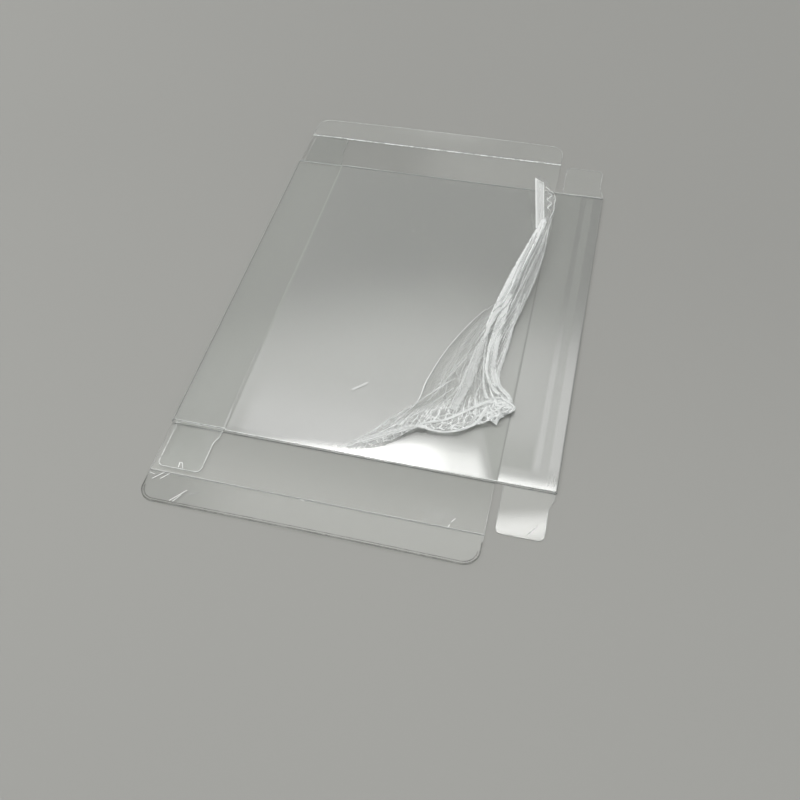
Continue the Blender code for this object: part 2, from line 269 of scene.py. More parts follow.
def sheet_material(name, tilt=None, gain=None, shade=None, marks=(), clearness=0.972):
    """Clear plastic sheet: light passes, Fresnel gloss reflects the studio, and the cut edges carry painted light and
    shade.

    tilt adds a slope along the tube to the shading normal; gain paints the gloss stronger or weaker by place, and
    shade is painted shade that keeps light back. Each is a function of the node tree and the place, and gain may be a
    number."""
    material, n = new_material(name)
    place = n.place()
    x, y, z = n.parts(place)
    back = n.backfacing()
    front = n.minus(1.0, back)
    level = n.math("ABSOLUTE", n.parts(n.place("Normal"))[2])

    # Rolling and handling leave a long soft wave and a very fine orange peel.
    rolled = n.noise(place, 16.0, 1.0)
    grain = n.noise(place, 340.0, 1.0)
    shine = n.bump(n.plus(n.times(rolled, 0.00012), n.times(grain, 0.0000016)), 1.0)
    if tilt is not None:
        lean = n.add("ShaderNodeCombineXYZ")
        n.put(lean.inputs[1], n.times(tilt(n, x, y, z), -1.0))
        turned = n.add("ShaderNodeVectorTransform", vector_type="VECTOR", convert_from="OBJECT", convert_to="WORLD")
        n.put(turned.inputs[0], lean.outputs[0])
        shine = n.vector("NORMALIZE", n.vector("ADD", shine, turned.outputs[0]))

    lost = n.times(n.slab(SHEET_IOR, back, Normal=shine), front)
    slab = lost
    if gain is not None:
        slab = n.times(lost, gain if isinstance(gain, float) else gain(n, x, y, z))

    tint = n.mix_colour(back, (clearness - 0.003, clearness + 0.003, clearness, 1.0), grey(1.0))
    # Painted shade: the clear tint turns a darker grey where the shade function asks for it.
    tint = n.mix_colour(shade(n, x, y, z) if shade else 0.0, tint, grey(0.80, 0.005))
    # Light that the underside throws back comes through again, off the table.
    clear = n.shader("ShaderNodeBsdfTransparent", Color=n.vector("SCALE", tint, scale=n.plus(lost, 1.0)))
    roughness = n.step(rolled, 0.3, 0.7, 0.05, 0.11)
    gloss = n.shader("ShaderNodeBsdfAnisotropic", Color=grey(1.0), Roughness=roughness, Normal=shine)
    face = n.mix_shader(slab, clear, gloss)

    # Fine dust and rub marks, then the named marks, all of them whitish: scratches and scuffs, and painted glints.
    dust = n.step(n.noise(place, 900.0, 1.0), 0.72, 0.80)
    white = n.plus(n.times(dust, 0.05), n.times(rolled, 0.010))
    for start, stop, width, strength in marks:
        white = n.math("MAXIMUM", white, n.times(n.mark(place, start, stop, width), strength))
    dust_and_painted_glints = n.shader("ShaderNodeBsdfPrincipled", Base_Color=grey(0.93, 0.01), Roughness=0.45)
    face = n.mix_shader(n.times(white, front), face, dust_and_painted_glints)

    # Cut edge, painted light and shade: a shaded dark grey-green from outside, and a painted bright tone, lit from
    # straight above, where light would come through the sheet, but not at the glued fold.
    outside = n.shader("ShaderNodeBsdfDiffuse", Color=grey(0.28, 0.02, 0.01))
    painted_lit_tone = n.mix_colour(n.step(x, 0.0785, 0.0792), grey(0.60, 0.02, 0.01), grey(0.26, 0.01))
    through = n.shader("ShaderNodeBsdfDiffuse", Color=painted_lit_tone, Normal=(0.0, 0.0, 1.0))
    wall = n.mix_shader(back, outside, through)
    wall = n.mix_shader(0.60, n.shader("ShaderNodeBsdfTransparent"), wall)
    n.show(n.mix_shader(n.step(level, 0.75, 0.35), face, wall))
    return material


def dress(node, material):
    """A CAD node takes a new material in place of its own."""
    mesh = nodes[node].data
    for k in range(len(mesh.materials)):
        mesh.materials[k] = material


# The curl of the near edge. Left of CURL_LEFT it is short and steep, right of CURL_RIGHT long and shallow.
CURL_LEFT = -0.010
CURL_RIGHT = 0.036
RIGHT_CURL_START = -0.0787
DUST_CURL_START = -0.0928
DUST_CURL_SLANT = 0.3
DUST_CURL_MIDDLE = 0.0672


def upper_layer(n, z):
    """1 on the tube's upper layer, 0 on the lower one."""
    return n.step(z, 0.0005, 0.0006)


def score_line(n, x):
    """1 on the lower layer's score, seen through the top panel."""
    return n.between(x, SCORE_RIGHT - 0.00050, SCORE_RIGHT - 0.00018, SCORE_RIGHT + 0.00018, SCORE_RIGHT + 0.00050)


def left_of_score(n, x):
    return n.step(x, SCORE_LEFT + 0.0002, SCORE_LEFT - 0.0004)


def right_of_score(n, x):
    return n.step(x, SCORE_RIGHT + 0.0004, SCORE_RIGHT + 0.0010)


def near_start(n, x):
    """Where along the tube the wide top panel starts to curl down to its near edge."""
    left = n.step(x, CURL_LEFT, CURL_RIGHT, -0.0750, -0.0588)
    return n.minus(left, n.step(x, 0.0448, 0.0600, 0.0, 0.0300))


def near_curl(n, x, y, z):
    """How far the tube's top panels lean towards their near edge, as a slope."""
    narrow = n.math("GREATER_THAN", x, SCORE_RIGHT + 0.0002)
    down = n.math("MAXIMUM", n.minus(near_start(n, x), y), 0.0)
    wide = n.times(n.step(x, SCORE_LEFT, SCORE_LEFT + 0.004), n.minus(1.0, narrow))
    curl = n.times(n.times(down, n.step(x, CURL_LEFT, CURL_RIGHT, 10.5, 5.8)), wide)
    down = n.math("MAXIMUM", n.minus(RIGHT_CURL_START, y), 0.0)
    curl = n.plus(curl, n.times(down, n.times(narrow, 13.0)))
    return n.times(curl, upper_layer(n, z))


def dust_curl(n, x, y, z):
    """The lean of the near right dust flap: flat at its root, turning down at its end."""
    start = n.plus(n.times(n.minus(x, DUST_CURL_MIDDLE), DUST_CURL_SLANT), DUST_CURL_START)
    return n.times(n.math("MAXIMUM", n.minus(start, y), 0.0), 8.6)


def tube_painted_gloss(n, x, y, z):
    """Painted reflection: how strongly each part of the tube shines."""
    # Painted reflection: beside the line of glue the tab leaves an air gap, which is painted to reflect once more,
    # and the score under it is painted dull.
    bands = n.plus(n.between(x, 0.0690, 0.0700, 0.0716, 0.0722), n.between(x, 0.0750, 0.0758, 0.0794, 0.0799))
    bands = n.times(bands, n.step(y, -0.0830, -0.0760))
    upper = upper_layer(n, z)
    gain = n.plus(1.0, n.times(n.times(bands, upper), 1.2))
    gain = n.minus(gain, n.times(n.times(score_line(n, x), n.minus(1.0, upper)), 0.9))
    # Painted shade: the left panel, and the corner between the curl and the score, tilt away from the light, so their
    # gloss is painted weaker.
    gain = n.times(gain, n.minus(1.0, n.times(left_of_score(n, x), 0.55)))
    corner = n.times(n.step(y, -0.050, -0.066), n.between(x, 0.030, 0.050, SCORE_RIGHT, SCORE_RIGHT + 0.0004))
    flat = n.step(n.minus(near_start(n, x), y), 0.0090, 0.0020)
    gain = n.times(gain, n.minus(1.0, n.times(n.times(corner, flat), 0.80)))
    # Painted reflection: the panel over the tab is dull towards its near edge, and brighter over the rest.
    dull = n.times(n.step(y, -0.056, -0.076), n.times(right_of_score(n, x), n.step(x, 0.0690, 0.0680)))
    dull = n.times(dull, n.step(n.minus(RIGHT_CURL_START, y), 0.0030, 0.0))
    gain = n.times(gain, n.minus(1.0, n.times(dull, 0.60)))
    glued = n.times(n.step(y, 0.004, -0.018), right_of_score(n, x))
    gain = n.times(gain, n.plus(1.0, n.times(glued, 0.40)))
    # Painted highlight: the near half of the wide panel faces the lightest part of the room, so its gloss is painted
    # stronger.
    bright = n.times(n.step(y, -0.045, -0.095), n.between(x, -0.054, -0.046, 0.016, 0.040))
    return n.plus(gain, n.times(bright, 2.1))


def tube_score_and_painted_shade(n, x, y, z):
    """Where the lower layer's score keeps light back, and painted shade on the narrow panel on the left."""
    upper = upper_layer(n, z)
    score = n.times(score_line(n, x), n.minus(1.0, upper))
    return n.plus(n.times(score, 0.45), n.times(n.times(left_of_score(n, x), upper), 0.18))


# Painted gloss and painted shade of the flaps, none of which lies quite flat.
# Painted gloss: stronger in the left part, but none at the very left end, and weak on the right.
def tuck_painted_gloss(n, x, y, z):
    return n.times(n.step(x, -0.030, 0.030, 0.34, 0.08), n.step(x, -0.072, -0.056, 0.0, 1.0))


def tuck_painted_shade(n, x, y, z):
    """Painted shade: the flap rises a little to its fold, where it hides some of the table's light."""
    return n.times(n.step(y, -0.110, -0.090), 0.20)


# Painted gloss: weak at the lip's left end.
def lip_painted_gloss(n, x, y, z):
    return n.step(x, -0.076, -0.040, 0.05, 0.45)


# Painted shade towards the lip's left end.
def lip_painted_shade(n, x, y, z):
    return n.step(x, -0.030, -0.072, 0.0, 0.28)


# Painted gloss of the near left dust flap: weak at its left and towards its end.
def end_painted_gloss(n, x, y, z):
    return n.times(n.step(x, -0.074, -0.058, 0.05, 0.90), n.step(y, -0.108, -0.090, 0.45, 1.0))


# Painted shade over the far tuck flap's left half.
def far_painted_shade(n, x, y, z):
    return n.step(x, 0.000, -0.030, 0.0, 0.25)


# Heights of the surfaces that carry marks.
PANEL_TOP = 0.0012
PANEL_SIDE_TOP = 0.0013
DUST_FLAP_TOP = 0.0014
LOWER_FLAP_TOP = 0.0005


def marks_at(z, *rows):
    """Scratches and scuffs, and painted glints: the ends of each as pixels of the photograph, its width in mm and its
    strength.
    """
    marks = []
    for x0, y0, x1, y1, width, strength in rows:
        a, b = at_pixel(x0, y0, z), at_pixel(x1, y1, z)
        marks.append(((a.x, a.y, 0.0), (b.x, b.y, 0.0), width * 0.001, strength))
    return marks


def dress_sheets():
    # Marks on the tube: scratches, a whitish crease line at the near left, painted glints at the near left corners,
    # and scuffs at the near right corner.
    marks = marks_at(PANEL_TOP, (352, 389, 368, 382, 0.30, 0.9), (413, 230, 413.4, 230.2, 0.4, 0.6)) + marks_at(
        PANEL_SIDE_TOP,
        (223.6, 428.0, 231.5, 409.0, 0.22, 0.45),
        (231.5, 409.0, 262.0, 340.0, 0.22, 0.10),
        (216.0, 429.8, 223.0, 431.0, 0.45, 0.65),
        (196.5, 423.6, 201.0, 424.6, 0.30, 0.55),
        (174.5, 420.6, 180.0, 421.4, 0.30, 0.55),
        (549.5, 478.0, 547.5, 487.0, 0.20, 0.35),
        (553.0, 474.0, 551.0, 485.0, 0.20, 0.40),
        (556.0, 476.0, 554.4, 486.0, 0.18, 0.35),
    )
    dress("sleeve", sheet_material("clear_sheet_tube", near_curl, tube_painted_gloss, tube_score_and_painted_shade, marks, clearness=0.922))
    # Whitish scratches on the lip, partly painted glints, and two painted glints on its crease.
    marks = marks_at(
        LOWER_FLAP_TOP,
        (152.3, 478.0, 164.6, 471.9, 0.30, 1.0),
        (160.5, 478.2, 169.3, 473.4, 0.28, 1.0),
        (150.4, 471.9, 155.0, 473.9, 0.26, 0.8),
        (169.6, 500.7, 187.0, 490.3, 0.28, 0.95),
        (172.6, 501.6, 181.0, 495.2, 0.24, 0.9),
        (189.0, 494.4, 199.0, 493.0, 0.24, 0.35),
        (301.0, 499.6, 303.4, 500.4, 0.45, 0.8),
        (391.0, 519.4, 393.0, 519.9, 0.40, 0.6),
    )
    dress("near_tuck_lip", sheet_material("clear_sheet_near_lip", gain=lip_painted_gloss, shade=lip_painted_shade, marks=marks))
    # A dotted curl of painted glints, and a faint whitish patch.
    marks = marks_at(
        LOWER_FLAP_TOP,
        (447.5, 527.6, 449.6, 524.4, 0.32, 0.9),
        (451.4, 521.6, 455.4, 518.4, 0.30, 0.9),
        (432.0, 516.0, 446.0, 517.6, 5.0, 0.07),
    )
    dress("near_tuck_flap", sheet_material("clear_sheet_near_tuck", gain=tuck_painted_gloss, shade=tuck_painted_shade, marks=marks))
    marks = marks_at(LOWER_FLAP_TOP, (528, 534, 536.5, 527, 0.3, 0.3))
    dress("near_right_dust_flap", sheet_material("clear_sheet_dust_curled", dust_curl, 0.8, marks=marks))
    # A small painted reflection at the flap's end.
    marks = marks_at(
        DUST_FLAP_TOP,
        (178.4, 467.0, 180.0, 462.4, 0.30, 0.9),
        (180.0, 462.4, 182.2, 462.4, 0.28, 0.8),
        (182.2, 462.4, 182.8, 468.2, 0.28, 0.8),
    )
    # Painted shade: the dust flaps on the left are made less clear, and their gloss is painted weaker.
    dress("near_left_dust_flap", sheet_material("clear_sheet_near_dust", gain=end_painted_gloss, marks=marks, clearness=0.890))
    dress("far_left_dust_flap", sheet_material("clear_sheet_far_dust", gain=0.05, clearness=0.870))
    plain = sheet_material("clear_sheet_flaps")
    dress("far_tuck_lip", plain)
    dress("far_right_dust_flap", plain)
    dress("far_tuck_flap", sheet_material("clear_sheet_far_tuck", shade=far_painted_shade))


# The film's heights and outlines, as in the source. Each row of an outline holds the place along it, then shares:
# of the wide panel's width and the tube's length for an edge, or of a height.
FILM_PLEAT_HEIGHT = 0.0028
FILM_LIFT_HEIGHT = 0.003
FILM_TIP_HEIGHT = 0.0105
FILM_CLUMP_HEIGHT = 0.0016
FILM_PLEAT_LEAN = 0.00022
FILM_PLEATS = 5.5
FAR_ROW = 0.989
NEAR_ROW = 0.014
TIP_ROW = 0.80
PEEL_FRONT = (
    (0.014, 0.358, 0.014),
    (0.052, 0.416, 0.052),
    (0.130, 0.485, 0.130),
    (0.166, 0.536, 0.166),
    (0.248, 0.552, 0.248),
    (0.364, 0.592, 0.364),
    (0.488, 0.664, 0.488),
    (0.542, 0.714, 0.542),
    (0.675, 0.748, 0.675),
    (0.824, 0.778, 0.824),
    (0.912, 0.755, 0.912),
    (0.989, 0.725, 0.989),
)
FREE_EDGE = (
    (0.014, 0.826, 0.189),
    (0.060, 0.836, 0.205),
    (0.110, 0.818, 0.234),
    (0.170, 0.785, 0.255),
    (0.260, 0.763, 0.300),
    (0.360, 0.768, 0.368),
    (0.480, 0.779, 0.442),
    (0.600, 0.803, 0.546),
    (0.720, 0.816, 0.644),
    (0.840, 0.833, 0.770),
    (0.930, 0.837, 0.884),
    (0.989, 0.830, 0.958),
)
HEM = (
    (0.00, 0.358, 0.014),
    (0.15, 0.421, 0.024),
    (0.30, 0.495, 0.051),
    (0.42, 0.565, 0.099),
    (0.52, 0.618, 0.105),
    (0.65, 0.678, 0.113),
    (0.78, 0.737, 0.138),
    (0.90, 0.785, 0.158),
    (1.00, 0.826, 0.189),
)
PLEAT_SHARE = (
    (0.014, 0.25),
    (0.100, 0.40),
    (0.300, 0.50),
    (0.500, 0.78),
    (0.700, 1.00),
    (0.850, 0.86),
    (0.989, 0.22),
)
LIFT_SHARE = (
    (0.014, 0.33),
    (0.150, 0.67),
    (0.400, 0.87),
    (0.600, 1.00),
    (0.989, 1.00),
)


def top_mid(x, y):
    """Height of the top layer's middle at a place counted from the tube's near left corner."""
    if x <= PANEL_DEPTH:
        return Z_LEFT_MID
    t = min(1.0, (x - PANEL_DEPTH) / PANEL_WIDTH)
    straight = Z_LEFT_MID + (Z_RIGHT_MID - Z_LEFT_MID) * t
    dip = (Z_LEFT_MID + Z_RIGHT_MID) / 2 - Z_SAG_MID
    along = y / TUBE_LENGTH
    ripple = math.sin(7.0 * t + 5.0 * along) + 0.6 * math.sin(13.0 * along - 4.0 * t + 1.0)
    arch = math.sin(math.pi * t)
    return straight - dip * arch + PANEL_WAVE * arch * arch * ripple


def film_outline(row, u):
    front = curve(PEEL_FRONT, row)
    free = curve(FREE_EDGE, row)
    hem = curve(HEM, u)
    near = 1.0 - (row - NEAR_ROW) / (FAR_ROW - NEAR_ROW)
    share = []
    for c in range(2):
        straight = HEM[0][c + 1] + (HEM[-1][c + 1] - HEM[0][c + 1]) * u
        share.append(front[c] + (free[c] - front[c]) * u + near ** 9 * (hem[c] - straight))
    stand = smoothstep((row - TIP_ROW) / (FAR_ROW - TIP_ROW))
    bow = stand * math.sin(math.pi * u)
    return share[0] + 0.012 * bow, share[1] - 0.018 * bow, stand


def film_place(row, u):
    """A point of the gathered film, in the source's coordinates, with finer pleats than the solid's."""
    across, along, stand = film_outline(row, u)
    wander = 0.045 * math.sin(5.0 * u + 7.0 * row) + 0.02 * math.sin(21.0 * row)
    phase = 2.0 * math.pi * FILM_PLEATS * (u + wander)
    clump = smoothstep((u - 0.78) / 0.12) * smoothstep((0.20 - row) / 0.12)
    height = FILM_PLEAT_HEIGHT * curve(PLEAT_SHARE, row)[0] + FILM_CLUMP_HEIGHT * clump
    uneven = 0.72 + 0.28 * math.sin(9.0 * u + 4.0 * row) * math.sin(17.0 * row + 3.0 * u)
    fade = smoothstep(u / 0.10)
    open_edge = 0.55 + 0.45 * smoothstep((1.0 - u) / 0.10)
    pleat = height * uneven * fade * open_edge * (0.5 - 0.5 * math.cos(phase))
    arch = math.sin(math.pi * min(1.0, u))
    fine = noise.noise(Vector((u * 44.0, row * 7.0, 3.1)))
    finer = noise.noise(Vector((u * 110.0, row * 13.0, 8.7)))
    crumple = noise.noise(Vector((u * 46.0, row * 90.0, 1.7)))
    edge = smoothstep((0.16 - row) / 0.12)
    small = 0.00075 * fine + 0.00035 * finer
    small += (0.0003 * edge + 0.0012 * clump) * crumple
    pleat += fade * small * (0.35 + 0.65 * curve(PLEAT_SHARE, row)[0])
    lift = FILM_LIFT_HEIGHT * curve(LIFT_SHARE, row)[0] * arch ** 0.8
    tip = FILM_TIP_HEIGHT * stand * smoothstep(u / 0.20) * (1.0 - 0.62 * smoothstep((u - 0.45) / 0.55))
    lean = FILM_PLEAT_LEAN * fade * math.sin(phase) * (0.4 + 0.6 * row) * arch
    lean += 0.0006 * fade * (1.0 - fade * 0.3) * finer
    x = PANEL_DEPTH + across * PANEL_WIDTH + lean
    y = along * TUBE_LENGTH
    floor = top_mid(x, y) + SLEEVE_TOP
    return x - HALF_SPAN, y - HALF_LENGTH, max(floor, floor + pleat + lift + tip)


def bump_at(value, center, width):
    t = (value - center) / width
    return math.exp(-t * t)


def film_cover(row, u):
    """How white the film is: clear where it is stuck or stretched, white where it is creased."""
    if u <= 0.0:
        return CLEAR_COVER
    cover = 0.08 + 0.30 * smoothstep((u - 0.08) / 0.30)
    cover += 0.20 * smoothstep((u - 0.62) / 0.16)
    cover += 0.22 * smoothstep((row - 0.46) / 0.14)
    cover += 0.24 * bump_at(row, 0.020, 0.020) * smoothstep((u - 0.05) / 0.20)
    cover += 0.28 * smoothstep((0.17 - row) / 0.08)
    cover += 0.30 * smoothstep((u - 0.82) / 0.08) * smoothstep((0.16 - row) / 0.08)
    bundle = smoothstep((row - 0.46) / 0.10)
    cover *= 1.0 - bundle * (0.35 + 0.35 * smoothstep((u - 0.62) / 0.20))
    cover *= 1.0 - 0.95 * smoothstep((row - 0.79) / 0.06)
    cover *= 0.35 + 0.65 * smoothstep((row - 0.02 + u * 0.5) / 0.10)
    cover += 1.00 * bump_at(u, 0.009, 0.013) * smoothstep((row - 0.11) / 0.06) * smoothstep((0.60 - row) / 0.06)
    return min(1.0, max(0.0, cover))


def film_material():
    """Thin film: clear where it is flat, whitish along its pleats and fine creases."""
    material, n = new_material("film_creased")
    uv = n.add("ShaderNodeUVMap", uv_map="film").outputs[0]
    cover = n.attribute("cover")
    rough = n.minus(1.0, n.attribute("calm"))
    u, row = n.parts(uv)[0:2]
    place = n.place()

    def streaks(across, along, low_edge, high_edge, shift):
        flow = n.add("ShaderNodeCombineXYZ")
        n.put(flow.inputs[0], n.times(u, across))
        n.put(flow.inputs[1], n.times(row, along))
        flow.inputs[2].default_value = shift
        value = n.noise(flow.outputs[0], 1.0, 2.0, 0.6, 0.15)
        return n.step(value, low_edge, high_edge), value

    coarse, coarse_value = streaks(26.0, 3.0, 0.54, 0.64, 0.0)
    fine, fine_value = streaks(85.0, 6.0, 0.55, 0.63, 4.0)
    crinkle = n.noise(place, 900.0, 1.0, 0.6)
    share = n.plus(0.16, n.plus(n.times(coarse, 0.75), n.times(fine, 1.25)))
    share = n.plus(share, n.times(n.step(crinkle, 0.50, 0.66), 0.35))
    # Near the hem, a net of crinkle lines, bent by a soft noise.
    bend = n.vector("SCALE", n.noise(place, 260.0, 1.0, output="Color"), scale=0.0022)
    bent = n.vector("ADD", place, bend)
    coarse_net = n.times(n.step(n.net(bent, 300.0), 0.13, 0.03), 1.10)
    fine_net = n.times(n.step(n.net(bent, 720.0), 0.14, 0.03), 0.55)
    crossed = n.plus(n.plus(0.22, n.plus(coarse_net, fine_net)), n.times(fine, 0.35))
    near = n.times(n.times(n.step(row, 0.17, 0.07), n.step(u, 1.4, 1.2)), 0.62)
    share = n.plus(n.times(share, n.minus(1.0, near)), n.times(crossed, near))
    # Where the film is calm its whiteness is plain, and where it stands steep more of it is seen.
    share = n.plus(n.times(share, rough), n.minus(1.0, rough))
    side = n.step(n.math("ABSOLUTE", n.parts(n.place("Normal"))[2]), 0.85, 0.25)
    opacity = n.plus(n.times(cover, share), n.times(n.times(side, cover), 0.35))

    height = n.plus(n.times(coarse_value, 0.0006), n.times(fine_value, 0.0003))
    height = n.times(n.plus(height, n.times(crinkle, 0.0002)), n.plus(0.06, rough))
    # Light scattered between the folds evens their shading out.
    evened = n.vector("NORMALIZE", n.vector("ADD", n.bump(height, 0.8), (0.0, 0.0, 0.7)))
    creased = n.shader(
        "ShaderNodeBsdfPrincipled",
        Base_Color=(0.96, 0.98, 0.975, 1.0),
        Roughness=n.step(fine_value, 0.3, 0.7, 0.25, 0.45),
        IOR=FILM_IOR,
        Normal=evened,
    )
    glowing = n.shader("ShaderNodeBsdfTranslucent", Color=(0.93, 0.955, 0.95, 1.0))
    # Gathered film lies in many layers, of which few face the light, so each one shines less.
    slab = n.times(n.slab(FILM_IOR, n.backfacing()), n.step(u, 0.02, -0.005, 0.18, 1.0))
    gloss = n.shader("ShaderNodeBsdfAnisotropic", Color=grey(1.0), Roughness=0.12)
    thin = n.mix_shader(slab, n.shader("ShaderNodeBsdfTransparent"), gloss)
    n.show(n.mix_shader(n.math("MINIMUM", opacity, 0.97), thin, n.mix_shader(0.10, creased, glowing)))
    return material


def grid_faces(rows, columns, start=0):
    """Faces between points that were made row after row."""
    faces = []
    for i in range(rows - 1):
        for j in range(columns - 1):
            a = start + i * columns + j
            faces.append((a, a + 1, a + columns + 1, a + columns))
    return faces


def add_values(mesh, name, values):
    mesh.attributes.new(name, "FLOAT", "POINT").data.foreach_set("value", values)


def finish_film_mesh(name, points, faces, layout, covers, calms, material, smooth=True):
    mesh = bpy.data.meshes.new(name)
    mesh.from_pydata(points, [], faces)
    uv = mesh.uv_layers.new(name="film")
    for loop in mesh.loops:
        uv.data[loop.index].uv = layout[loop.vertex_index]
    add_values(mesh, "cover", covers)
    add_values(mesh, "calm", calms)
    mesh.polygons.foreach_set("use_smooth", [smooth] * len(mesh.polygons))
    mesh.materials.append(material)
    obj = bpy.data.objects.new(name, mesh)
    scene.collection.objects.link(obj)
    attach(obj, "tube")
    return obj


